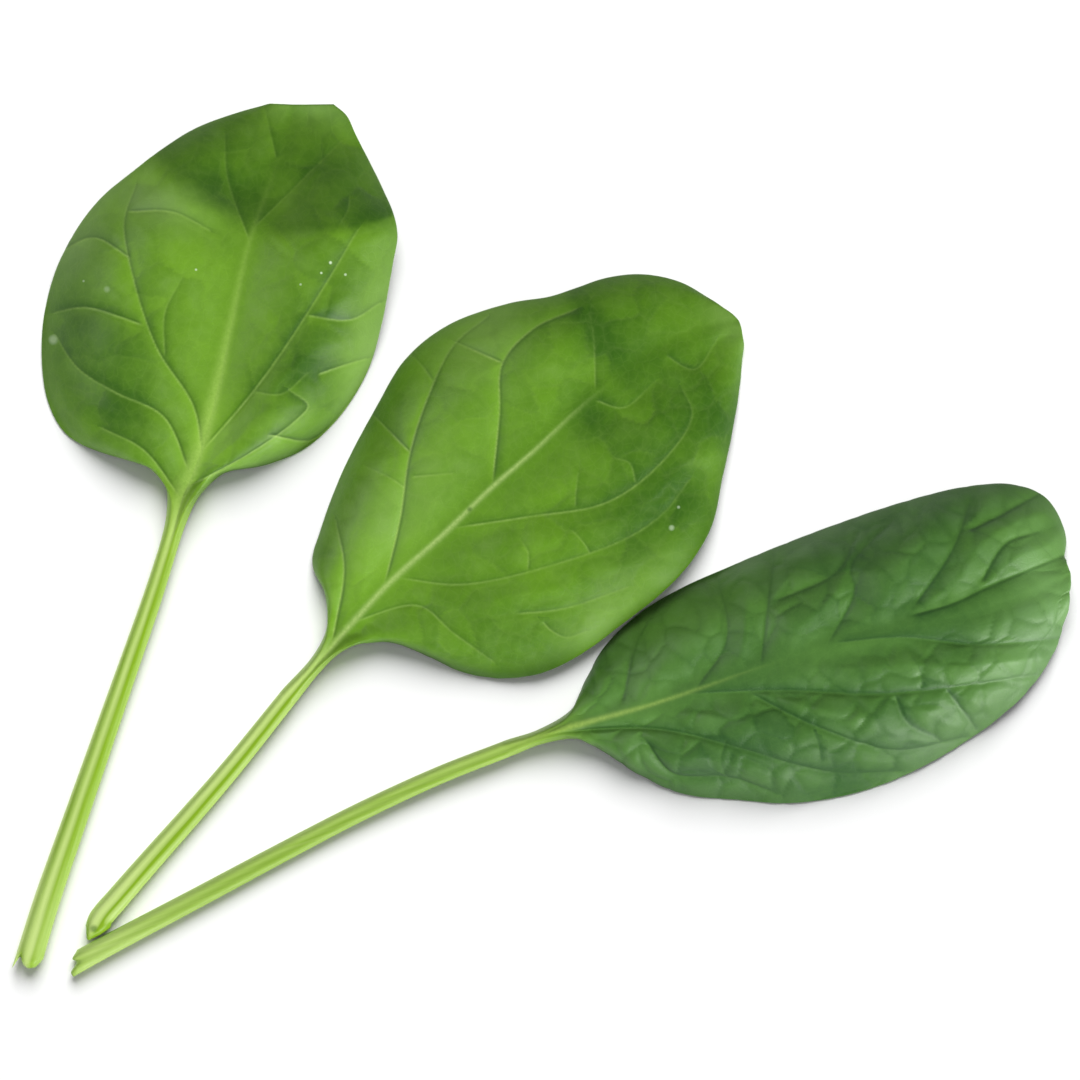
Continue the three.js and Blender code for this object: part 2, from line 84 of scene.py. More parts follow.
leftLeaf = {
    "piece": "left_leaf",
    "node": "leaf_left",
    "cutEndAt": (-82, -67.8),
    "heading": 17,  # degrees clockwise from +Y
    "stalk": [(0, 0), (0, 10.5), (0.5, 24), (1.3, 44.5), (2, 62), (2.1, 70)],
    "stalkWidth": (4.4, 2.9),  # at the cut end and at the neck
    "cutEdge": [-1.4, 0.7, -0.2, -0.6, -0.5, 0, 1.4],  # how far the cut end is drawn in, from left to right
    "midrib": [
        (2.2, 78), (2.7, 88.5), (2.4, 96.5), (1.5, 108), (0.6, 119.5), (0.8, 130), (0.9, 138), (0.6, 144),
    ],
    "leftMargin": [
        (0.1, 75.5), (-1.6, 80), (-5.5, 82.4), (-12, 81.8), (-18.8, 82.6), (-23.6, 87), (-27.4, 96.2),
        (-28.5, 104.5), (-27.7, 112), (-25, 120), (-20.6, 126.6), (-17.4, 131), (-13.6, 135.6),
        (-8.9, 139.4), (-3.6, 142.8),
    ],
    "rightMargin": [
        (3.7, 75), (4.4, 79.5), (7, 84.3), (14, 88), (18.6, 91.9), (22.4, 98.5), (24.5, 106.5),
        (24.5, 114.5), (23.4, 124.5), (22.9, 128.6), (21.4, 131.6), (17.5, 136.2), (11.6, 142.4),
        (9.3, 144.9), (6.8, 146),
    ],
    "height": [2.4, 3.8, 5.8, 7.8, 9.4, 9.6, 9.2],  # at equal steps from the neck to the tip
    "crest": ([0, 1.2, 2.2, 2.6, 2.2, 1, 0], [0, 1.5, 2.6, 3, 2.4, 1, 0]),
    "fall": ([0.5, 3.6, 6.4, 7.6, 6, 3, 1], [0.5, 4, 7, 7.6, 6, 3, 1]),
    "marginRoll": 4.2,
    "ripple": {"waves": 5, "size": 0.35, "shift": (1.6, 2)},
    "fold": {"from": 122.5, "bend": 0.02, "slope": (0.38, 0.5), "softness": (2.4, 0.6)},
    "pillow": 0.55,
    "swells": [((-5, 128), (9, 4), -1.1), ((16, 134), (6, 5), -0.8)],
    "veins": [
        [(3, 86), (-0.5, 93), (-8.5, 100), (-15, 109), (-19.5, 118), (-19.5, 124)],
        [(2, 82.5), (-4.5, 90), (-13, 91.5), (-20, 93.5), (-25, 97.5)],
        [(1.5, 78.5), (-6, 84), (-13.5, 85.5)],
        [(-11.5, 103), (-21.5, 103), (-26, 101)],
        [(-16.5, 112.5), (-23.5, 114), (-28, 110.5)],
        [(-19.5, 119.5), (-12.5, 121.5), (-6, 120.5)],
        [(2.7, 86), (8, 98), (11, 106.5), (14, 117), (16.5, 127.5)],
        [(2.5, 80.5), (10, 88), (15.5, 95), (17, 98.5), (13.5, 100)],
        [(12, 92), (19, 93.5), (24, 103)],
        [(17, 103.5), (23.5, 108.5)],
        [(12.5, 112), (19.5, 113.5), (23, 117.5)],
        [(0.7, 123), (5, 131.5), (9.5, 140.5)],
        [(0.6, 120.5), (-6, 129.5), (-8.5, 136)],
    ],
    "smallVeins": [
        [(0.5, 134.5), (-1.5, 138), (-3.5, 141.5)],
        [(13.5, 132.5), (14, 130), (13.5, 127.5)],
        [(8, 98), (12.5, 99), (15.5, 103.5)],
        [(-7, 99), (-9, 106), (-8, 112)],
    ],
    "quilts": {"size": 5.5, "rise": (0.14, 0.2), "soft": 1.5, "seed": 3},  # rise to the left and the right
    "crease": {"depth": 0.32, "width": 0.6},
    "looks": {
        "deep": (0.032, 0.105, 0.003),
        "bright": (0.160, 0.345, 0.016),
        "bloom": (0.220, 0.340, 0.120),
        "veins": (0.330, 0.520, 0.110),
        "rib": (0.360, 0.560, 0.110),
        "neck": (0.250, 0.450, 0.012),
        "usual": 0.56,  # share of the bright green where nothing else changes it
        "net": (0.330, 0.520, 0.110),
        "roughness": 0.5,
        "shine": 0.24,
    },
    "dull": [((15, 102), (6, 8), 0.3)],  # spots that shine less
    "netStrength": 0.04,
    "veinPaleness": 0.55,
    "veinShade": 0.65,
    "veinLitAndShadedSides": (0.28, 0.34),  # painted light on the side towards the stalk and painted shade on the side towards the tip
    "faint": {11: 0.5, 12: 0.5},  # veins that are weaker than the rest, by number
    "stalkPaleness": 0.3,
    "cutTip": 0.3,  # how much greener the stalk's cut end is
    "stripesAndPaintedLight": [  # along the stalk, its own pale and dark stripes together with painted highlight and painted shade: where across it, width, paleness
        (-0.95, 0.2, 0.6), (-0.12, 0.24, 0.5), (-0.62, 0.2, -0.2), (0.32, 0.14, -0.25), (0.62, 0.25, -0.2),
    ],
    "ribLine": {"width": (1.5, 0.5), "fades": (0.2, 1.0), "strength": 0.6},
    "tonesAndPaintedLight": [  # paler patches, and darker ones below 0, partly the leaf's own tone and partly painted shade and painted highlight: place, size, amount
        ((-2, 106), (12, 20), 0.4),
        ((11, 107), (5, 13), -0.6),
        ((4, 90), (3, 9), 0.9),
        ((-15, 92), (9, 8), -0.45),
        ((-25, 106), (4, 12), -0.5),
        ((-20, 101), (5, 4), -0.5),
        ((13, 101), (6, 5), -0.55),
        ((22.5, 107), (2.5, 8), 0.5),
        ((4, 128), (3, 3.5), 0.6),
        ((16.5, 108), (4.5, 9), -1.0),
        ((-11, 101), (4, 6), -0.2),
        ((-20, 92), (9, 12), -0.3),
        ((-10, 90), (6, 7), -0.75),
        ((-21, 120), (7, 5), 0.4),
        ((-17.5, 125.3), (4, 1.5), 0.7),
        ((-10.5, 122.6), (5, 1.5), 0.6),
        ((22, 113), (2.5, 11), 0.5),
        ((10.8, 135), (4, 3.2), -0.5),
        ((5, 137), (4, 4), -0.7),
        ((-15, 95), (7, 9), -0.25),
        ((18.5, 130.5), (4, 2.4), -0.7),
        ((-4.5, 127.5), (5.5, 3.2), -0.6),
    ],
    "paintedSheen": [  # painted sheen: place, size, amount
        ((-15, 122), (8, 3.5), 0.9), ((-26, 113), (4, 6), 0.8), ((23, 110), (3, 14), 0.9),
        ((4, 145), (6, 3), 0.7),
    ],
    "tipPaintedShading": (-0.85, -0.35),  # painted shade of the tip that folds down: how much darker the blade is just past its fold and at its tip
    "tipEdge": (2.5, 0.5),  # how soft that change is to the left and the right
    "rimPaintedShades": [(1, (0.05, 0.42), 2.2, 0.85), (-1, (0.1, 0.9), 1.2, 0.15)],  # painted shade along the rolled-down margins: side, from and to, width, shade
    "crinkles": [  # fine wrinkles: place, size, depth
        ((18, 92), (5, 5), 0.16), ((21, 101), (2.5, 8), 0.1), ((-20, 90), (5, 7), 0.06),
    ],
    "specks": [  # drops and specks of water: place, radius, paleness
        ((-25.2, 96.7), 0.6, 0.25), ((13.9, 121.2), 0.2, 0.7), ((13, 119.2), 0.15, 0.6),
        ((16.7, 120.1), 0.17, 0.5), ((10.4, 116.5), 0.15, 0.4), ((-6.2, 113.9), 0.15, 0.5),
        ((-23, 107), 0.15, 0.3), ((-18.9, 106.8), 0.4, 0.15),
    ],
}

middleLeaf = {
    "piece": "middle_leaf",
    "node": "leaf_middle",
    "cutEndAt": (-71.6, -63),
    "heading": 46,
    "stalk": [(0.4, 0.2), (-0.8, 2.6), (-1.3, 7), (-2, 15), (-2.7, 24), (-3.6, 34), (-5.5, 49)],
    "stalkWidth": (3.9, 3),
    "cutEdge": [0.9, -1.15, -0.5, 0.5, 1.75],
    "midrib": [
        (-6, 56), (-6.9, 65), (-7.4, 74), (-7, 84.5), (-7, 95), (-6.5, 105), (-6.4, 114), (-5.5, 122.5),
        (-2.5, 132), (1.2, 142.5),
    ],
    "leftMargin": [
        (-7.6, 56.5), (-9.3, 61), (-13.2, 64.8), (-18.4, 66.5), (-21.4, 71.2), (-25.8, 80.5), (-29.4, 91.5),
        (-31.6, 100), (-30.8, 108.5), (-26.6, 117.8), (-22.7, 123.5), (-20.6, 127.9), (-18.5, 132.3),
        (-14.6, 137.1), (-9.4, 140.4), (-4.4, 141.5),
    ],
    "rightMargin": [
        (-4.8, 55.5), (-4.7, 60), (-2.8, 64.6), (0.6, 67.5), (6.2, 69.8), (11.4, 71.7), (16.4, 75.5),
        (20.1, 80.5), (22.3, 87), (23.5, 95.5), (24.3, 104), (23.9, 110.5), (22, 116.9), (18.1, 122.7),
        (13.9, 129), (8.8, 135.8), (5.2, 139.8),
    ],
    "height": [2.4, 3.6, 5, 6.2, 7, 6.8, 6],
    "crest": ([0, 0.8, 1.3, 1.5, 1.3, 0.6, 0], [0, 0.8, 1.2, 1.4, 1.2, 0.6, 0]),
    "fall": ([0.5, 3.2, 4.8, 5.4, 4.6, 3, 1.5], [0.5, 3.6, 4.6, 3.2, 3.6, 4.4, 2.5]),
    "marginRoll": 5,
    "ripple": {"waves": 4, "size": 0.4, "shift": (2.1, 4.2)},
    "fold": {"from": 121, "bend": 0.01, "slope": (0.24, 0.24), "softness": (3, 3)},
    "pillow": 0.5,
    "swells": [((-20, 78), (5, 9), 0.5), ((14, 112), (6, 12), -0.7)],
    "veins": [
        [(-7, 60), (-14, 69.5), (-20.5, 74)],
        [(-7.5, 72), (-13.5, 81.5), (-20, 90), (-24.5, 98.5), (-27.5, 107), (-27, 114)],
        [(-6.9, 95.5), (-14.5, 104.5), (-20, 110.5), (-20.5, 118), (-18, 125)],
        [(-20, 110.5), (-27.5, 107.5)],
        [(-20, 90), (-28, 90)],
        [(-6.5, 118), (-12.5, 123.5), (-16, 126)],
        [(-7, 86), (0.5, 96.5), (7.5, 107), (9, 117), (7, 126.5), (2.5, 128.5)],
        [(-7.3, 74.5), (1, 81.5), (9, 94.5), (14, 106), (15, 113), (14, 119)],
        [(-7, 64.5), (-1.5, 74), (5.5, 75), (13.5, 76.5)],
        [(10, 84), (15, 90.5), (19.5, 100)],
        [(-5.5, 117), (-1.5, 119.5), (-1, 126)],
        [(-3, 130), (2, 132), (1, 138)],
    ],
    "smallVeins": [
        [(-25.5, 100.5), (-28.5, 101), (-31, 101)],
        [(-16.5, 85.5), (-19, 85), (-23, 83.5)],
        [(-17, 87.5), (-15, 90), (-13, 92.5)],
        [(4.5, 103), (3, 104.5), (1, 107)],
        [(8.5, 112.5), (5.5, 114), (3.5, 113)],
        [(6.5, 90.5), (4.5, 92.5), (2.5, 93)],
        [(11.5, 99.5), (9, 100), (7, 100)],
        [(14, 86.5), (16, 86.5), (18.5, 87.5), (20, 90.5)],
    ],
    "quilts": {"size": 5, "rise": (0.13, 0.22), "soft": 1.5, "seed": 8},
    "crease": {"depth": 0.3, "width": 0.6},
    "looks": {
        "deep": (0.032, 0.108, 0.003),
        "bright": (0.144, 0.325, 0.012),
        "bloom": (0.220, 0.340, 0.110),
        "veins": (0.350, 0.520, 0.130),
        "rib": (0.400, 0.560, 0.170),
        "neck": (0.240, 0.430, 0.012),
        "usual": 0.54,
        "net": (0.350, 0.520, 0.130),
        "roughness": 0.5,
        "shine": 0.24,
    },
    "dull": [((18, 84), (6, 7), 0.25)],
    "netStrength": 0.05,
    "veinPaleness": 0.55,
    "veinShade": 0.65,
    "veinLitAndShadedSides": (0.28, 0.34),
    "stalkPaleness": 0.4,
    # the stalk's cut end is painted much darker here: painted shade where it meets the right stalk
    "cutTip": 1.1,
    "stripesAndPaintedLight": [(-0.95, 0.2, 0.6), (-0.3, 0.3, 0.5), (0.27, 0.14, -0.7), (0.65, 0.2, -0.1)],
    "faint": {5: 0.4, 6: 0.75, 7: 0.5, 8: 0.6, 9: 0.5, 10: 0.5, 11: 0.6},
    "ribLine": {"width": (0.55, 0.35), "fades": (0.55, 0.8), "strength": 0.7},
    "specks": [
        ((17.6, 111.7), 0.35, 0.3), ((16, 114.8), 0.2, 0.3), ((-6.9, 90.6), 0.35, -0.6),
        # the last of these, at the stalk's cut end, is painted shade
        ((15.5, 76), 1.3, -0.3), ((-0.4, 0.8), 0.5, -0.6),
    ],
    "tonesAndPaintedLight": [
        ((-17, 88), (9, 14), 0.5),
        ((-10, 73), (5, 11), 1.1),
        ((13, 114), (9, 9), -1.3),
        ((11, 131), (9, 5), -0.35),
        ((-4.5, 115), (4, 4), -0.9),
        ((-15, 125), (5, 3), -0.4),
        ((7, 91), (4, 4), 0.4),
        ((16, 84), (6, 6), -0.5),
        ((7, 75), (5, 4), -0.35),
        ((-17, 107), (4, 5), 0.3),
        ((-17, 68), (4, 3), -0.4),
        ((-28, 106), (4, 9), 0.7),
        ((13, 104), (5, 8), -0.4),
        ((10, 132), (9, 5), -0.35),
        ((15, 124), (4, 3), 0.6),
        ((-13, 123), (6, 4), -0.7),
        ((0, 116), (6, 5), -0.3),
        ((-23, 75), (4, 5), -0.4),
        ((-15, 116), (5, 2.5), 0.25),
        ((-25, 113), (4, 7), 0.6),
        ((20.5, 97), (2.5, 9), 0.4),
        ((13, 80), (9, 8), -0.3),
        ((-27.5, 94), (2.5, 6), -0.4),
    ],
    "paintedSheen": [
        ((-15, 82), (6, 13), 0.6), ((-25, 111), (6, 9), 0.7), ((20, 96), (4, 10), 0.5),
        ((2, 141), (6, 3), 0.5),
    ],
    "tipPaintedShading": (-0.65, -0.2),
    "tipEdge": (1, 3),
    "rimPaintedShades": [(1, (0.06, 0.5), 2.0, 0.8), (1, (0.45, 0.9), 1.2, 0.3), (-1, (0.1, 0.95), 1, 0.2)],
    "crinkles": [
        ((16, 80), (6, 8), 0.16), ((8, 72), (8, 3), 0.13), ((21.5, 96), (2.5, 8), 0.1),
        ((8, 130), (6, 6), 0.07),
    ],
}

rightLeaf = {
    "piece": "right_leaf",
    "node": "leaf_right",
    "cutEndAt": (-75.2, -68.2),
    "heading": 70,
    "stalk": [(0, 0), (-1.1, 7), (-3.4, 23.5), (-5.4, 37.5), (-7.3, 52), (-8.5, 66), (-8.8, 78)],
    "stalkWidth": (3.5, 2.7),
    "cutEdge": [2.2, 0.9, 1.2, -0.3, -0.4],
    "midrib": [
        (-8.9, 84.5), (-8.4, 92), (-7.7, 101), (-7.5, 110), (-7.4, 119), (-7, 128), (-6.2, 137),
        (-4.6, 148), (-3.8, 159.5), (-4.4, 171.7),
    ],
    "leftMargin": [
        (-10, 83.5), (-11.4, 89.8), (-15.3, 93.8), (-18.8, 97.6), (-22, 104.6), (-23.6, 112.5),
        (-24.2, 121), (-24.6, 131), (-24.7, 141), (-24.4, 151), (-23.4, 160.5), (-21.2, 168), (-17.6, 172.4),
        (-13, 173.6), (-9.6, 173.1), (-7.9, 171.3),
    ],
    "rightMargin": [
        (-7.5, 83.5), (-6.2, 88.9), (-3.3, 91.9), (2.6, 96.1), (8, 101.7), (11.7, 109.2), (15.2, 117.2),
        (17.2, 127), (17.3, 136), (16, 145), (13.7, 153.5), (10, 161.2), (6, 166), (2, 168.7),
    ],
    "height": [2.4, 5, 7.5, 9, 9.6, 9.4, 8],
    "crest": ([0, 0.5, 0.9, 1, 1, 0.6, 0], [0, 0.6, 1, 1.2, 1.2, 0.7, 0]),
    "fall": ([0.5, 5.2, 8.4, 8.6, 8.2, 7, 3], [0.5, 4.6, 8, 9.6, 9.6, 7.6, 3]),
    "marginRoll": 3.4,
    "ripple": {"waves": 5, "size": 0.3, "shift": (4.8, 6)},
    "fold": {"from": 158, "bend": 0.01, "slope": (0.3, 0.3), "softness": (4, 4)},
    "pillow": 1.1,
    "swells": [],
    "veins": [
        [(-8.7, 86), (-3.5, 101.5), (4.5, 113.5), (9, 119.5), (13, 126), (16, 135)],
        [(-3.5, 98.5), (4, 101), (7.5, 109), (12.5, 115.5)],
        [(-7.5, 107), (-2.5, 122.5), (3, 136), (6.5, 149), (9, 161)],
        [(-4.5, 116.5), (5, 125.5), (12.5, 135.5), (14.5, 147)],
        [(-7, 132), (-4, 143), (1, 153.5), (5, 167)],
        [(4, 138.5), (9, 139), (13.5, 143)],
        [(6, 146.5), (13.5, 149)],
        [(-7, 145), (-6.5, 152.5), (-7, 158), (-7.5, 171.5)],
        [(-8, 146), (-14.5, 155), (-20, 160)],
        [(-16.5, 158.5), (-17, 164), (-18, 171.5)],
        [(-8, 157.5), (-12.5, 163.5), (-12.5, 169)],
        [(-9, 97), (-18, 103), (-22, 108)],
        [(-7.5, 109), (-13.5, 116.5), (-23, 118.5)],
        [(-7.5, 120), (-16.5, 124.5), (-23, 128)],
        [(-16.5, 125.5), (-17.5, 136.5), (-22, 142)],
        [(-7, 131), (-13.5, 138), (-17.5, 139), (-22, 148)],
    ],
    "smallVeins": [
        [(1.5, 111), (4.5, 109), (7.5, 109)],
        [(10, 124), (7, 124.5), (5, 124.5)],
        [(4.5, 143), (2, 143.5), (-0.5, 143)],
    ],
    "quilts": {"size": 4.4, "rise": (0.26, 0.5), "soft": 0.8, "seed": 5},
    "crease": {"depth": 0.45, "width": 0.6},
    "looks": {
        "deep": (0.021, 0.080, 0.012),
        "bright": (0.098, 0.240, 0.034),
        "bloom": (0.160, 0.290, 0.130),
        "veins": (0.150, 0.310, 0.070),
        "rib": (0.300, 0.450, 0.090),
        "neck": (0.225, 0.405, 0.020),
        "usual": 0.46,
        # painted shade in the creases between quilts
        "net": (0.012, 0.055, 0.008),
        "roughness": 0.54,
        "shine": 0.3,
    },
    "dull": [((15, 126), (5, 11), 0.35)],
    "netStrength": 0.08,
    "veinPaleness": 0.15,
    "veinShade": 0.75,
    "veinLitAndShadedSides": (0.1, 0.32),
    "faint": {8: 0.7, 11: 0.5, 12: 0.5, 13: 0.5, 14: 0.5, 15: 0.5},
    "stalkPaleness": 0.2,
    "cutTip": 0.25,
    "stripesAndPaintedLight": [(-0.95, 0.35, 0.6), (-0.25, 0.25, 0.1), (0.3, 0.3, -0.05)],
    "ribLine": {"width": (0.45, 0.15), "fades": (0.15, 0.55), "strength": 0.8},
    "specks": [],
    "tonesAndPaintedLight": [
        ((-20, 110), (5, 15), 1.1),
        ((-21, 148), (5, 16), -0.5),
        ((-11, 116), (3, 9), -0.3),
        ((-11, 141), (4, 8), -0.6),
        ((-6, 131), (3, 7), 0.45),
        ((-15, 160), (3, 5), 0.4),
        ((-6, 168.5), (9, 5), 1.6),
        ((5, 159), (5, 6), 0.8),
        ((-1, 151), (3, 5), -0.7),
        ((15, 127), (3, 9), -0.6),
        ((12, 127), (5, 14), -0.5),
        ((4, 110), (8, 16), -0.75),
        ((3, 136), (4, 14), -0.35),
        ((-8, 99), (5, 8), 0.7),
    ],
    "paintedSheen": [((-3, 168), (11, 5), 0.8), ((5, 160), (6, 6), 0.6)],
    "tipPaintedShading": (0, 0.35),
    "tipEdge": (4, 4),
    "rimPaintedShades": [(-1, (0.05, 0.9), 1, 0.25), (1, (0.05, 0.5), 1.2, 0.35)],
    "crinkles": [((6, 148), (8, 12), 0.07)],
}


def smoothStep(start, end, v):
    share = np.clip((v - start) / (end - start), 0, 1)
    return share * share * (3 - 2 * share)


def softRamp(v, softness):  # rises from 0 to a slope of 1 with a soft bend
    return softness * np.log1p(np.exp(np.minimum(v / softness, 50)))


def blend(a, b, share):
    return a + (b - a) * share


def bell(v, width):  # 1 at 0, falling away on both sides
    return np.exp(-((v / width) ** 2))


def spot(f, at, size):  # 1 at a place on the leaf, falling away round it
    return np.exp(-(((f["x"] - at[0]) / size[0]) ** 2) - ((f["y"] - at[1]) / size[1]) ** 2)


def profile(values):  # a list of values at equal steps, read at any share of its length
    points = np.array([values[0], *values, values[-1]], float)

    def at(share):
        steps = np.clip(share, 0, 1) * (len(values) - 1)
        i = np.minimum(steps.astype(int), len(values) - 2)
        w = steps - i
        p0, p1, p2, p3 = (points[i + k] for k in range(4))
        v0, v1 = (p2 - p0) / 2, (p3 - p1) / 2
        return (2 * p1 - 2 * p2 + v0 + v1) * w**3 + (3 * p2 - 3 * p1 - 2 * v0 - v1) * w**2 + v0 * w + p1

    return at


def throughPoints(points, shares):  # a smooth line through plan points
    given = np.array(points, float)
    path = np.vstack([2 * given[0] - given[1], given, 2 * given[-1] - given[-2]])
    steps = np.asarray(shares, float) * (len(given) - 1)
    i = np.clip(steps.astype(int), 0, len(given) - 2)
    w = (steps - i)[:, None]
    p0, p1, p2, p3 = (path[i + k] for k in range(4))
    pairs = ((p0, p1), (p1, p2), (p2, p3))
    d0, d1, d2 = (np.sqrt(np.linalg.norm(b - a, axis=1))[:, None] for a, b in pairs)
    t1 = ((p1 - p0) / d0 - (p2 - p0) / (d0 + d1) + (p2 - p1) / d1) * d1
    t2 = ((p2 - p1) / d1 - (p3 - p1) / (d1 + d2) + (p3 - p2) / d2) * d1
    return (2 * p1 - 2 * p2 + t1 + t2) * w**3 + (3 * p2 - 3 * p1 - 2 * t1 - t2) * w**2 + t1 * w + p1


def planLine(points, first=0):  # read by share of its length, from the point numbered first to the last
    samples = throughPoints(points, np.linspace(first / (len(points) - 1), 1, 401))
    lengths = np.append(0, np.cumsum(np.linalg.norm(np.diff(samples, axis=0), axis=1)))

    def at(share):
        wanted = np.clip(share, 0, 1) * lengths[-1]
        return np.stack([np.interp(wanted, lengths, samples[:, k]) for k in (0, 1)], axis=-1)

    at.length = lengths[-1]
    return at


def drawnIn(point, towards, distance):  # moved by a distance towards another point
    return point + (towards - point) * (distance / np.linalg.norm(towards - point))


def rightOf(line, share, step=0.002):  # unit vectors to the right of a line
    along = line(share + step) - line(share - step)
    along /= np.linalg.norm(along, axis=-1, keepdims=True)
    return np.stack([along[..., 1], -along[..., 0]], axis=-1)


def distanceToLine(x, y, line):  # each point's distance, how far along the line, and -1 or 1 for its side
    best = np.full(x.shape, np.inf)
    along = np.zeros(x.shape)
    side = np.ones(x.shape)
    for i, (a, b) in enumerate(zip(line[:-1], line[1:])):
        d = b - a
        share = np.clip(((x - a[0]) * d[0] + (y - a[1]) * d[1]) / (d @ d), 0, 1)
        gap = np.hypot(x - a[0] - d[0] * share, y - a[1] - d[1] * share)
        nearer = gap < best
        best[nearer] = gap[nearer]
        along[nearer] = (i + share[nearer]) / (len(line) - 1)
        side[nearer] = np.sign(d[0] * (y[nearer] - a[1]) - d[1] * (x[nearer] - a[0]))
    return best, along, side


def cellBorders(x, y, size, seed):  # distance to a border between irregular cells, and each cell's value
    random = np.random.default_rng(seed)
    columns = np.arange(math.floor(x.min() / size) - 1, math.ceil(x.max() / size) + 2)
    rows = np.arange(math.floor(y.min() / size) - 1, math.ceil(y.max() / size) + 2)
    seeds = np.array([(c + 0.5 * (r % 2), r) for r in rows for c in columns], float)
    astray = 0.36  # share of a cell by which its middle may stray
    seeds = (seeds + random.uniform(-astray, astray, seeds.shape)) * size
    worth = random.uniform(-1, 1, len(seeds))
    first = np.full(x.shape, np.inf)
    second = np.full(x.shape, np.inf)
    value = np.zeros(x.shape)
    for (sx, sy), v in zip(seeds, worth):
        gap = np.hypot(x - sx, y - sy)
        second = np.minimum(second, np.maximum(first, gap))
        value = np.where(gap < first, v, value)
        first = np.minimum(first, gap)
    return (second - first) / 2, value


def rowsOf(leaf):  # rows from the cut end to the tip: middle, edges, column shares and place on the leaf
    b = leafBuild
    stalkLine = planLine(leaf["stalk"])
    midrib = planLine([*leaf["stalk"], *leaf["midrib"]], len(leaf["stalk"]) - 1)
    halfWidths = [w / 2 for w in leaf["stalkWidth"]]

    def edgeOfStalk(share, side):
        return stalkLine(share) + rightOf(stalkLine, share) * (side * blend(*halfWidths, share))[..., None]

    margins = []
    for name, side in (("leftMargin", -1), ("rightMargin", 1)):
        leadIn = edgeOfStalk(np.array(b["leadIn"]), side)
        margins.append(planLine([*map(tuple, leadIn), *leaf[name]], 1))

    roundShare = b["cutRound"] / stalkLine.length
    roundShares = roundShare * (1 - np.cos(np.linspace(0, math.pi / 2, b["cutRows"] + 1)))
    stalkShares = np.append(roundShares[:-1], np.linspace(roundShare, 1, b["stalkRows"], endpoint=False))
    bladeShares = np.linspace(0, 1, b["bladeRows"]) ** b["rowSpacing"]
    rimShare = b["rim"] / midrib.length
    rimSteps = 1 - np.cos(np.linspace(0, math.pi / 2, b["rimRows"] + 1))
    bladeShares = np.append(bladeShares[:-1] * (1 - rimShare), 1 - rimShare + rimShare * np.sqrt(rimSteps))
    rows = []
    for share in stalkShares:
        edges = [edgeOfStalk(share, side) for side in (-1, 1)]
        steps = np.linspace(-1, 1, b["stalkColumns"] + 1) * math.pi / 2
        rows.append({"blade": False, "share": share, "middle": stalkLine(share), "edges": edges,
                     "halfWidth": blend(*halfWidths, share), "columns": np.sin(steps), "tipGap": np.inf})
    for share in bladeShares:
        middle = midrib(share ** b["rowBow"])
        inset = b["marginInset"] * smoothStep(0, b["insetBy"], share)
        edges = [drawnIn(margin(share), middle, inset) for margin in margins]
        halfWidth = np.linalg.norm(edges[0] - edges[1]) / 2
        ribShare = b["ribHalfWidth"] / (halfWidth + 0.6 * b["ribHalfWidth"])
        rimStart = max(1 - b["rim"] / halfWidth, ribShare + 0.1)
        half = np.concatenate([
            ribShare * np.sin(np.linspace(0, math.pi / 2, b["ribColumns"] + 1))[:-1],
            np.linspace(ribShare, rimStart, b["sideColumns"] + 1),
            rimStart + (1 - rimStart) * np.sin(np.linspace(0, math.pi / 2, b["rimColumns"] + 1))[1:],
        ])
        rows.append({"blade": True, "share": share, "middle": middle, "edges": edges,
                     "halfWidth": halfWidth, "columns": np.append(-half[:0:-1], half),
                     "tipGap": (1 - share) * midrib.length})
    right = rightOf(stalkLine, np.array(0.0))
    return rows, np.array([-right[1], right[0]]), stalkLine.length


def stitch(near, far):  # triangles between two rows of points that may have different numbers of columns
    found = []
    i = j = 0
    while i < len(near["columns"]) - 1 or j < len(far["columns"]) - 1:
        nextNear = near["columns"][i + 1] if i < len(near["columns"]) - 1 else np.inf
        nextFar = far["columns"][j + 1] if j < len(far["columns"]) - 1 else np.inf
        if nextNear <= nextFar:
            found.append((near["first"] + i, near["first"] + i + 1, far["first"] + j))
            i += 1
        else:
            found.append((near["first"] + i, far["first"] + j + 1, far["first"] + j))
            j += 1
    return found


def facesOf(rows):  # four-sided faces between like rows, triangles where the stalk's rows meet the blade's
    faces = []
    for near, far in zip(rows[:-1], rows[1:]):
        if len(near["columns"]) != len(far["columns"]):
            faces += stitch(near, far)
            continue
        a, c = near["first"], far["first"]
        faces += [(a + k, a + k + 1, c + k + 1, c + k) for k in range(len(near["columns"]) - 1)]
    return faces


def outlineOf(rows):
    last = [row["first"] + len(row["columns"]) - 1 for row in rows]
    first = [row["first"] for row in rows]
    acrossTip = range(last[-1] - 1, first[-1] - 1, -1)
    return [*range(first[0], last[0] + 1), *last[1:], *acrossTip, *first[-2:0:-1]]


def normalsOf(points, faces):
    normals = np.zeros_like(points)
    for corners in (4, 3):
        chosen = np.array([f for f in faces if len(f) == corners])
        if not len(chosen):
            continue
        p = points[chosen]
        if corners == 4:
            cross = np.cross(p[:, 2] - p[:, 0], p[:, 3] - p[:, 1])
        else:
            cross = np.cross(p[:, 1] - p[:, 0], p[:, 2] - p[:, 0])
        for k in range(corners):
            np.add.at(normals, chosen[:, k], cross)
    return normals / np.linalg.norm(normals, axis=1, keepdims=True)


farAway = 99.0


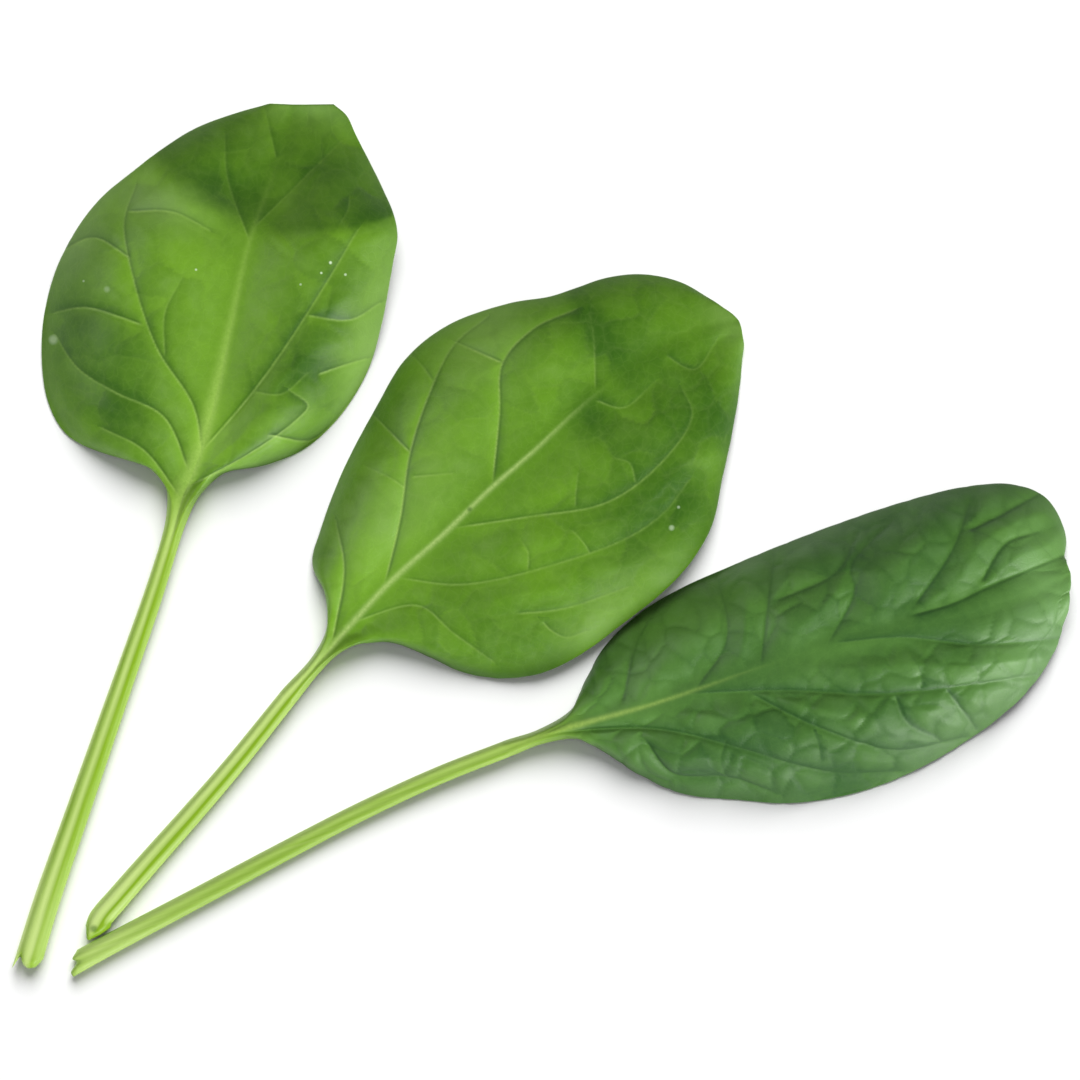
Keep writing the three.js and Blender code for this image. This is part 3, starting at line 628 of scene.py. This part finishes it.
def leafFields(leaf, rows, inwards, stalkLength):  # one value per point: its place on the leaf
    f = {"x": [], "y": []}
    cutGap = []
    for row in rows:
        c = row["columns"][:, None]
        edge = np.where(c < 0, row["edges"][0], row["edges"][1])
        p = blend(row["middle"], edge, np.abs(c))
        if row["blade"]:
            threePoints = [row["edges"][0], row["middle"], row["edges"][1]]
            curve = throughPoints(threePoints, (row["columns"] + 1) / 2)
            p = blend(p, curve, smoothStep(leafBuild["tipFrom"], 1, row["share"]))
            cutGap.append(np.full(len(c), farAway))
        else:
            cut = profile(leaf["cutEdge"])((c + 1) / 2)
            nearCut = max(0, 1 - row["share"] * leafBuild["cutReach"])
            p = p + inwards * cut * nearCut
            cutGap.append(row["share"] * stalkLength - cut[:, 0] * (1 - nearCut))
        f["x"].append(p[:, 0])
        f["y"].append(p[:, 1])
    f["cutGap"] = np.concatenate(cutGap)
    for key in ("share", "halfWidth", "blade", "tipGap"):
        f[key] = np.concatenate([np.full(len(row["columns"]), float(row[key])) for row in rows])
    f["x"], f["y"] = np.concatenate(f["x"]), np.concatenate(f["y"])
    f["column"] = np.concatenate([row["columns"] for row in rows])
    f["out"] = np.abs(f["column"])
    f["blade"] = f["blade"] > 0
    return f


veinKinds = ("Main", "Branch")  # veins from the midrib, and veins from another vein
veinBuild = {
    "fromRib": 2.2,  # a vein that starts this near to the midrib's line comes from it
    "samples": 8,  # for each of its plan points
    "reach": 9.0,
    "small": 0.5,  # how strong a small vein is
    "atEnd": 0.35,  # strength left at a vein's end
    "setsIn": 0.08,  # share of its length over which it sets in
    "widths": {"line": 0.33, "shade": 0.6, "beside": 1.3},
}


def veinFields(leaf, f):  # nearest vein, and how strong its groove and its pale line are at each point
    b, x, y = veinBuild, f["x"], f["y"]
    f["nearest"] = np.full(x.shape, farAway)
    f["groove"] = np.zeros(x.shape)
    for kind in veinKinds:
        f["side" + kind] = np.full(x.shape, b["reach"])  # signed, so that the line stays fine between points
        for name in b["widths"]:
            f[name + kind] = np.zeros(x.shape)
    midrib = throughPoints([*leaf["stalk"], *leaf["midrib"]], np.linspace(0, 1, 300))
    groups = ((leaf["veins"], 1.0, True), (leaf["smallVeins"], b["small"], False))
    for veins, strength, shapesPillow in groups:
        for number, points in enumerate(veins):
            kind = veinKinds[int(np.linalg.norm(midrib - points[0], axis=1).min() > b["fromRib"])]
            line = throughPoints(points, np.linspace(0, 1, b["samples"] * len(points)))
            faint = leaf["faint"].get(number, 1) if shapesPillow else 1
            low, high = line.min(0) - b["reach"], line.max(0) + b["reach"]
            near = (x > low[0]) & (x < high[0]) & (y > low[1]) & (y < high[1]) & f["blade"]
            gap, along, side = distanceToLine(x[near], y[near], line)
            side *= -1 if points[-1][0] > points[0][0] else 1  # above 0 towards the stalk, on both halves
            if shapesPillow:
                f["nearest"][near] = np.minimum(f["nearest"][near], gap)
            closest = gap < np.abs(f["side" + kind][near])
            f["side" + kind][near] = np.where(closest, side * gap, f["side" + kind][near])
            fade = strength * faint * blend(1, b["atEnd"], along) * smoothStep(0, b["setsIn"], along)
            for name, width in b["widths"].items():
                f[name + kind][near] = np.maximum(f[name + kind][near], fade * bell(gap, width))
            grooved = fade * np.exp(-gap / leaf["crease"]["width"])
            f["groove"][near] = np.maximum(f["groove"][near], grooved)


def middleHeight(leaf, f):
    b = leafBuild
    stalkHeight = blend(*leaf["stalkWidth"], np.where(f["blade"], 1, f["share"])) / 2
    neckLift = leaf["height"][0] - (leaf["stalkWidth"][1] / 2 - b["stalkFlat"])
    inStalk = stalkHeight - b["stalkFlat"] + neckLift * smoothStep(*b["lift"], f["share"]) * b["liftTop"]

    s, out, x = f["share"], f["out"], f["x"]
    right = (f["column"] >= 0).astype(float)
    crest, fall = (blend(*(profile(side)(s) for side in leaf[name]), right) for name in ("crest", "fall"))
    ripple, fold = leaf["ripple"], leaf["fold"]
    z = profile(leaf["height"])(s) + crest * np.sin(math.pi * out ** b["crestBow"])
    z -= fall * out ** leaf["marginRoll"]
    wave = 2 * math.pi * ripple["waves"] * s + blend(*ripple["shift"], right)
    z += ripple["size"] * out**4 * np.sin(wave)
    across = np.clip(0.5 + x / b["foldReach"], 0, 1)
    softness = blend(*fold["softness"], across)
    f["pastFold"] = f["y"] - fold["from"] - fold["bend"] * x * x
    z -= blend(*fold["slope"], across) * softRamp(f["pastFold"], softness)
    for at, size, rise in leaf["swells"]:
        z += rise * spot(f, at, size)
    marginStart, marginLoss = b["reliefAtMargin"]
    inner = smoothStep(0, b["reliefFromRib"], out) * (1 - marginLoss * smoothStep(marginStart, 1, out))
    f["bladeShare"] = smoothStep(*b["reliefStarts"], s) * inner
    z += leaf["pillow"] * (0.5 - bell(f["nearest"], b["valley"])) * f["bladeShare"]
    z = b["restOn"] + softRamp(z - b["restOn"], b["restBlend"])
    return np.where(f["blade"], z, inStalk)


def reliefOf(leaf, f):  # finer forms: quilts between the small veins, and a groove along each vein
    b, quilts = leafBuild, leaf["quilts"]
    x, y, bladeShare = f["x"], f["y"], f["bladeShare"] * f["blade"]
    bend = 0.7 * np.sin(x / 2.3 + 0.6 * y) + 0.5 * np.sin(y / 1.9 - 0.4 * x)  # curves the cells' sides
    border, cell = cellBorders(x + bend, y + 0.8 * bend, quilts["size"], quilts["seed"])
    border = np.minimum(border, f["nearest"])
    f["quilt"] = (1 - np.exp(-border / quilts["soft"])) * bladeShare
    f["net"] = bell(border, b["netWidth"]) * bladeShare
    f["cell"] = cell * bladeShare
    rise = blend(*quilts["rise"], smoothStep(-3, 3, f["column"] * f["halfWidth"]))
    relief = rise * (f["quilt"] - 0.7 * bladeShare) * (0.8 + 0.35 * cell)
    wrinkle, _ = cellBorders(x * 1.3 + 0.6 * bend, y - 0.6 * bend, b["crinkle"], quilts["seed"] + 1)
    crinkled = np.zeros(x.shape)
    for at, size, depth in leaf["crinkles"]:
        crinkled = np.maximum(crinkled, depth * spot(f, at, size))
    relief -= crinkled * np.exp(-wrinkle / b["crinkleWidth"]) * bladeShare
    return relief - leaf["crease"]["depth"] * f["groove"] * bladeShare


def thicknessOf(leaf, f):  # how far the leaf reaches above and below its middle surface
    b = leafBuild
    edgeGap = np.minimum((1 - f["out"]) * f["halfWidth"], f["tipGap"])
    rim = np.sqrt(np.clip(1 - (1 - np.clip(edgeGap / b["rim"], 0, 1)) ** 2, 0.01, 1))
    cutRim = np.sqrt(np.clip(1 - (1 - np.clip(f["cutGap"] / b["cutRound"], 0, 1)) ** 2, 0.02, 1))
    skin = b["skin"] * rim * cutRim
    radius = blend(*leaf["stalkWidth"], np.where(f["blade"], 1, f["share"])) / 2 - b["skin"]
    section = np.sqrt(np.maximum(0, 1 - f["out"] ** 2)) * cutRim
    channel = b["channelDepth"] * bell(f["column"], b["channelWidth"]) * cutRim
    formed = smoothStep(leaf["stalkWidth"][1] / 2, b["bladeFormsBy"], f["halfWidth"])
    flattened = np.where(f["blade"], formed, 0)
    ribShape = np.exp(-1.6 * (f["column"] * f["halfWidth"] / b["ribHalfWidth"]) ** 2)
    ribDepth = np.where(f["blade"], blend(*b["ribDepth"], f["share"] ** 0.7), 0)
    above = skin + blend(radius * section - channel, b["ribAbove"] * ribShape, flattened)
    below = skin + blend(radius * section, ribDepth * ribShape, flattened)
    return above, below, np.where(f["blade"], 1 - flattened, 1)


paintBuild = {
    "ribNarrowsBy": 0.8,  # share of the blade where the pale rib has its smaller width
    "neckReach": 0.2,  # share of the blade into which the stalk's green runs
    "neckWidth": 5.0,
    "tipStarts": (-1, 1.5),  # the tip's painted shade sets in between these shares of its soft edge past the fold
    "tipFades": (3, 16),
    "rimEnds": 0.1,
    "stripeReach": 2.0,  # how far the stalk's stripes run on beside the midrib
    "cutEndReach": 0.4,
    "cutTipReach": 1.8,
}
paintNames = (
    "net", "quilt", "cell", "rib", "neck", "toneAndPaintedLight", "past", "rim", "stripeAndPaintedLight", "cutEnd", "cutTip", "dull",
    "paintedSheen",
)
veinNames = ("side", *veinBuild["widths"])


def paintFields(leaf, f):  # what is only colour, from 0 to 1
    b, line = paintBuild, leaf["ribLine"]
    s = np.where(f["blade"], f["share"], 0)
    fromRib = f["out"] * f["halfWidth"]
    ribWidth = blend(*line["width"], smoothStep(0, b["ribNarrowsBy"], s))
    ribFade = line["strength"] * (1 - smoothStep(*line["fades"], s))
    f["rib"] = np.where(f["blade"], bell(fromRib, ribWidth) * ribFade, 0)
    neckFade = (1 - smoothStep(0, b["neckReach"], s)) * bell(fromRib, b["neckWidth"])
    f["neck"] = np.where(f["blade"], neckFade, 1)
    edge = blend(*leaf["tipEdge"], np.clip(0.5 + f["x"] / leafBuild["foldReach"], 0, 1))
    f["past"] = smoothStep(*b["tipStarts"], f["pastFold"] / edge)
    # painted shade past the fold, then the listed patches of tone, painted shade and painted highlight
    f["toneAndPaintedLight"] = f["past"] * blend(*leaf["tipPaintedShading"], smoothStep(*b["tipFades"], f["pastFold"]))
    edgeGap = (1 - f["out"]) * f["halfWidth"]
    # painted shade along the rolled-down margins
    f["rim"] = np.zeros(s.shape)
    for side, (start, end), width, amount in leaf["rimPaintedShades"]:
        along = smoothStep(start, start + b["rimEnds"], s) * (1 - smoothStep(end - b["rimEnds"], end, s))
        shade = amount * along * bell(edgeGap, width) * (side * f["column"] > 0)
        f["rim"] = np.maximum(f["rim"], shade)
    f["dull"], f["paintedSheen"] = np.zeros(s.shape), np.zeros(s.shape)
    for name, spots in (("toneAndPaintedLight", leaf["tonesAndPaintedLight"]), ("dull", leaf["dull"]), ("paintedSheen", leaf["paintedSheen"])):
        for at, size, amount in spots:
            f[name] += amount * spot(f, at, size)
    # the stalk's stripes, partly painted highlight and painted shade
    stripesAndPaintedLight = np.zeros(s.shape)
    for at, width, amount in leaf["stripesAndPaintedLight"]:
        stripesAndPaintedLight += amount * bell(f["column"] - at, width)
    f["stripeAndPaintedLight"] = np.where(f["blade"], stripesAndPaintedLight * np.exp(-fromRib / b["stripeReach"]), stripesAndPaintedLight)
    f["cutEnd"] = np.where(f["blade"], 0, 1 - smoothStep(0, b["cutEndReach"], f["share"]))
    f["cutTip"] = bell(f["cutGap"], b["cutTipReach"])


def buildLeaf(leaf, bunch):
    rows, inwards, stalkLength = rowsOf(leaf)
    count = 0
    for row in rows:
        row["first"] = count
        count += len(row["columns"])
    f = leafFields(leaf, rows, inwards, stalkLength)
    veinFields(leaf, f)
    middle = np.stack([f["x"], f["y"], middleHeight(leaf, f)], axis=1)
    faces = facesOf(rows)
    normals = normalsOf(middle, faces)
    middle += normals * reliefOf(leaf, f)[:, None]
    above, below, upright = thicknessOf(leaf, f)
    paintFields(leaf, f)
    normals = blend(normals, np.array([0, 0, 1.0]), upright[:, None])
    normals /= np.linalg.norm(normals, axis=1, keepdims=True)
    upper = middle + normals * above[:, None]
    lower = middle - normals * below[:, None]
    lower[:, 2] = np.maximum(lower[:, 2], 0.01)
    upper[:, 2] = np.maximum(upper[:, 2], lower[:, 2] + 0.02)
    points = np.vstack([upper, lower])
    turn = math.radians(leaf["heading"])
    plan = points[:, :2] @ np.array([[math.cos(turn), -math.sin(turn)], [math.sin(turn), math.cos(turn)]])
    placed = np.column_stack([plan + np.array(leaf["cutEndAt"]), points[:, 2]]) * mm

    outline = outlineOf(rows)
    strip = [(a, a + count, b + count, b) for a, b in zip(outline, [*outline[1:], outline[0]])]
    allFaces = [*faces, *(tuple(k + count for k in reversed(face)) for face in faces), *strip]
    mesh = bpy.data.meshes.new(leaf["piece"])
    mesh.from_pydata(placed.tolist(), [], allFaces)
    mesh.validate()
    mesh.shade_smooth()
    marked = [*paintNames, *(name + kind for kind in veinKinds for name in veinNames)]
    marks = {name: np.tile(f[name], 2) for name in marked}
    marks["under"] = np.repeat([0.0, 1.0], count)
    for name, values in marks.items():
        layer = mesh.attributes.new(name, "FLOAT", "POINT")
        layer.data.foreach_set("value", values.astype(np.float32))
    planLayer = mesh.attributes.new("plan", "FLOAT_VECTOR", "POINT")
    planLayer.data.foreach_set("vector", points.astype(np.float32).ravel())

    piece = bpy.data.objects.new(leaf["piece"], mesh)
    bunch.objects.link(piece)
    mesh.materials.append(leafFinish(leaf))
    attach(piece, "root")
    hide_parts(leaf["node"])
    print(leaf["piece"], "built:", len(mesh.vertices), "points,", len(mesh.polygons), "faces")
    return piece


class Link:  # a shader socket that takes part in sums
    def __init__(self, finish, socket):
        self.finish = finish
        self.socket = socket

    def sum(self, kind, a, b):
        return self.finish.add("Math", {"operation": kind}, {0: a, 1: b})

    def __add__(self, other):
        return self.sum("ADD", self, other)

    def __radd__(self, other):
        return self.sum("ADD", other, self)

    def __sub__(self, other):
        return self.sum("SUBTRACT", self, other)

    def __rsub__(self, other):
        return self.sum("SUBTRACT", other, self)

    def __mul__(self, other):
        return self.sum("MULTIPLY", self, other)

    def __rmul__(self, other):
        return self.sum("MULTIPLY", other, self)


class Finish:  # a material and its nodes
    def __init__(self, name):
        self.material = bpy.data.materials.new(name)
        self.material.use_nodes = True
        self.tree = self.material.node_tree
        self.tree.nodes.clear()

    def add(self, kind, settings=None, inputs=None, output=0):
        node = self.tree.nodes.new("ShaderNode" + kind)
        for key, value in (settings or {}).items():
            setattr(node, key, value)
        for key, value in (inputs or {}).items():
            if isinstance(value, Link):
                self.tree.links.new(value.socket, node.inputs[key])
            else:
                node.inputs[key].default_value = value
        return Link(self, node.outputs[output])

    def mark(self, name):
        return self.add("Attribute", {"attribute_name": name}, output=2)

    def clamp(self, value):
        return self.add("Clamp", None, {0: value})

    def mixColours(self, share, a, b):
        colours = [c if isinstance(c, Link) else (*c, 1) for c in (a, b)]
        return self.add("Mix", {"data_type": "RGBA"}, {0: share, 6: colours[0], 7: colours[1]}, output=2)

    def noise(self, where, size, detail=2, roughness=0.5):  # 0 to 1, with lumps of about this size
        inputs = {"Vector": where, "Scale": 1 / size, "Detail": detail, "Roughness": roughness}
        return self.add("TexNoise", None, inputs)

    def absolute(self, value):
        return self.add("Math", {"operation": "ABSOLUTE"}, {0: value})

    def finish(self, skin):
        out = self.tree.nodes.new("ShaderNodeOutputMaterial")
        self.tree.links.new(skin.socket, out.inputs["Surface"])
        return self.material


def scaled(colour, by):
    return tuple(v * by for v in colour)


skinBuild = {  # how large each kind of lump or line is, in millimetres, then colours and finish
    "cloudy": 9,
    "mottle": 1.6,
    "fleck": 0.5,
    "veinlets": 1.5,
    "bloomed": 4.5,
    "broken": 2.2,
    "fibres": 0.45,
    "alongStalk": 0.03,  # how far the fibres' noise is drawn out along the stalk
    "grain": 0.28,
    "shadeBeside": 0.34,  # how far from a vein its dark line lies, on the side towards the tip
    "paler": (0.49, 0.64, 0.20),  # the stalk's pale green
    "drop": (0.75, 0.9, 0.65),
    "shadeOfDeep": 0.85,  # a shaded line's green, as a share of the deep green
    # the painted shade along the margins, as a share of the deep green
    "rimShadeOfDeep": 0.5,
    "coat": (0.06, 0.35),  # weight and roughness
    "bump": (0.4, 0.0004),  # strength and distance in metres
}


def leafFinish(leaf):
    looks, b = leaf["looks"], skinBuild
    m = Finish(leaf["piece"] + "_skin")
    where = m.add("Attribute", {"attribute_name": "plan"}, output=1)
    net, quilt, cell, rib, neck, toneAndPaintedLight, past, rim, stripeAndPaintedLight, cutEnd, cutTip, dull, paintedSheen = (
        m.mark(name) for name in paintNames
    )
    under = m.mark("under")

    cloudy = m.noise(where, b["cloudy"], 3)
    mottle = m.noise(where, b["mottle"], 4, 0.6)
    fleck = m.noise(where, b["fleck"], 3, 0.7)
    fineCells = {"Vector": where, "Scale": 1 / b["veinlets"]}
    veinlets = m.add("TexVoronoi", {"feature": "DISTANCE_TO_EDGE"}, fineCells)
    veinletMask = m.clamp(1 - veinlets * 9)

    share = looks["usual"] + toneAndPaintedLight * 0.4 + (cloudy - 0.5) * 0.25 + (mottle - 0.5) * 0.3
    # darker towards each quilt's border: painted shade in the creases between quilts; the cell term gives
    # each quilt its own tone
    share = share + (quilt - 0.5) * 0.12 + cell * 0.1
    shaded = lined = grooved = 0
    for kind in veinKinds:
        side, line, shade, beside = (m.mark(name + kind) for name in veinNames)
        # painted light beside each vein towards the stalk, painted shade towards the tip
        towardsStalk = m.clamp(0.5 + side * 3)
        step = towardsStalk * leaf["veinLitAndShadedSides"][0] - (1 - towardsStalk) * leaf["veinLitAndShadedSides"][1]
        share = share + step * beside
        gap = m.absolute(side)
        shaded = m.clamp(1 - m.absolute(side + b["shadeBeside"]) * 2.6) * shade + shaded
        lined = m.clamp(1 - gap * 3.2) * line + lined
        grooved = m.clamp(1 - gap * 1.4) * shade + grooved
    blade = m.mixColours(m.clamp(share), looks["deep"], looks["bright"])
    patches = m.clamp(m.noise(where, b["bloomed"], 3) * 3 - 1.3)
    bloomed = patches * m.clamp(quilt * 1.5) * m.clamp(1 + toneAndPaintedLight) * 0.22  # none where the leaf is dark
    # random pale bloom in patches, and painted sheen at the listed spots
    blade = m.mixColours(m.clamp(bloomed + paintedSheen * 0.4), blade, looks["bloom"])
    blade = m.mixColours(veinletMask * 0.03, blade, looks["veins"])
    # lines between quilts: pale veinlets on the left and middle leaves, painted crease shade on the right
    # leaf
    blade = m.mixColours(m.clamp(net * leaf["netStrength"]), blade, looks["net"])
    blade = m.mixColours(m.clamp(shaded * leaf["veinShade"]), blade, scaled(looks["deep"], b["shadeOfDeep"]))
    broken = m.clamp(m.noise(where, b["broken"], 3, 0.6) * 3 - 0.8)
    veinLine = lined * (1 - past * 0.5) * (0.4 + broken * 0.6)
    veinLine = veinLine * (0.4 + fleck * 1.4) * leaf["veinPaleness"]
    blade = m.mixColours(m.clamp(veinLine), blade, looks["veins"])
    blade = m.mixColours(m.clamp(rib * (fleck * 1.2 + 0.3)), blade, looks["rib"])
    # painted shade along the rolled-down margins
    blade = m.mixColours(rim * (0.7 + mottle * 0.5), blade, scaled(looks["deep"], b["rimShadeOfDeep"]))

    drawnOut = m.add("VectorMath", {"operation": "MULTIPLY"}, {0: where, 1: (1, b["alongStalk"], 1)})
    fibres = m.noise(drawnOut, b["fibres"], 3)
    paleness = leaf["stalkPaleness"] + stripeAndPaintedLight + (fibres - 0.5) * 0.5
    paleness = paleness + cutEnd * 0.3 - cutTip * leaf["cutTip"] - (1 - neck) * 0.4
    stalk = m.mixColours(m.clamp(paleness), scaled(looks["neck"], 0.85), b["paler"])
    top = m.mixColours(m.clamp(neck), blade, stalk)
    flat = m.add("VectorMath", {"operation": "MULTIPLY"}, {0: where, 1: (1, 1, 0)})
    for at, radius, amount in leaf["specks"]:
        away = m.add("VectorMath", {"operation": "DISTANCE"}, {0: flat, 1: (*at, 0)}, output=1)
        inside = m.clamp(1.6 - away * (1 / radius) + (mottle - 0.5) * 0.5) * abs(amount)
        top = m.mixColours(inside, top, b["drop"] if amount > 0 else looks["deep"])
    beneath = m.mixColours(m.clamp(0.35 + (cloudy - 0.5) * 0.6), scaled(looks["bright"], 1.1), looks["veins"])
    beneath = m.mixColours(m.clamp(neck), beneath, stalk)
    colour = m.mixColours(under, top, beneath)

    rough = looks["roughness"] + (mottle - 0.5) * 0.12 + under * 0.15 + dull
    grain = m.noise(where, b["grain"], 2)
    relief = grain * 0.05 + mottle * 0.12 + (1 - veinletMask) * 0.06 - grooved * 0.35
    strength, distance = b["bump"]
    bump = m.add("Bump", None, {"Strength": strength, "Distance": distance, "Height": relief})
    weight, coatRoughness = b["coat"]
    skin = m.add("BsdfPrincipled", None, {
        "Base Color": colour, "Roughness": rough, "Normal": bump, "Specular IOR Level": looks["shine"],
        "Coat Weight": weight, "Coat Roughness": coatRoughness,
    })
    return m.finish(skin)


table = {"side": 3.0, "colour": (0.93, 0.93, 0.93), "roughness": 0.7}


def buildTable(group):
    half = table["side"] / 2
    mesh = bpy.data.meshes.new("table_top")
    corners = [(-half, -half, 0), (half, -half, 0), (half, half, 0), (-half, half, 0)]
    mesh.from_pydata(corners, [], [(0, 1, 2, 3)])
    top = bpy.data.objects.new("table_top", mesh)
    group.objects.link(top)
    m = Finish("white_table")
    where = m.add("TexCoord", None, None, output=3)
    cloudy = m.noise(where, 0.4, 2)
    colour = m.mixColours(cloudy, table["colour"], scaled(table["colour"], 0.995))
    skin = m.add("BsdfPrincipled", None, {
        "Base Color": colour, "Roughness": table["roughness"], "Specular IOR Level": 0.2,
    })
    mesh.materials.append(m.finish(skin))
    print("table laid")


studio = {
    "camera": {"distance": 1.2, "view": 0.1728, "aim": (0, 0, 0.002)},
    "room": (0.30, 0.30, 0.305),  # soft white light from all round
    "lights": [  # azimuth anticlockwise from +X and height in degrees, then metres and watts
        {"name": "window", "azimuth": 82, "height": 45, "distance": 5.0, "size": 3.8, "power": 350,
         "onto": "table"},
        {"name": "softbox", "azimuth": -40, "height": 36, "distance": 1.6, "size": 0.9, "power": 31,
         "onto": "bunch", "shines": False},
        {"name": "sheen", "azimuth": -48, "height": 8, "distance": 1.6, "size": 1.3, "power": 54,
         "onto": "bunch", "lights": False},
        {"name": "fill", "azimuth": 172, "height": 40, "distance": 1.6, "size": 1.2, "power": 11,
         "onto": "bunch"},
    ],
}


def lightStudio(groups):
    for light in studio["lights"]:
        data = bpy.data.lights.new(light["name"], "AREA")
        data.shape = "DISK"
        data.size = light["size"]
        data.energy = light["power"]
        lamp = bpy.data.objects.new(light["name"], data)
        turn, height = math.radians(light["azimuth"]), math.radians(light["height"])
        away = light["distance"] * math.cos(height)
        up = light["distance"] * math.sin(height)
        lamp.location = (away * math.cos(turn), away * math.sin(turn), up)
        lamp.rotation_euler = (-lamp.location).to_track_quat("-Z", "Y").to_euler()
        bpy.context.scene.collection.objects.link(lamp)
        lamp.light_linking.receiver_collection = groups[light["onto"]]
        lamp.visible_diffuse = light.get("lights", True)
        lamp.visible_glossy = light.get("shines", True)
    world = bpy.data.worlds.new("white_room")
    bpy.context.scene.world = world
    world.use_nodes = True
    world.node_tree.nodes["Background"].inputs[0].default_value = (*studio["room"], 1)
    bpy.context.scene.view_settings.view_transform = "Standard"
    bpy.context.scene.view_settings.look = "None"
    print("studio lit")


def setCamera():
    c = studio["camera"]
    data = bpy.data.cameras.new("camera")
    data.sensor_width = 36
    data.lens = data.sensor_width * (c["distance"] - c["aim"][2]) / c["view"]
    data.clip_start = 0.01
    camera = bpy.data.objects.new("camera", data)
    camera.location = (c["aim"][0], c["aim"][1], c["distance"])
    bpy.context.scene.collection.objects.link(camera)
    bpy.context.scene.camera = camera


def newGroup(name):
    group = bpy.data.collections.new(name)
    bpy.context.scene.collection.children.link(group)
    return group


setCamera()
groups = {name: newGroup(name) for name in ("bunch", "table")}
for leaf in (leftLeaf, middleLeaf, rightLeaf):
    buildLeaf(leaf, groups["bunch"])
buildTable(groups["table"])
lightStudio(groups)
bpy.context.view_layer.update()
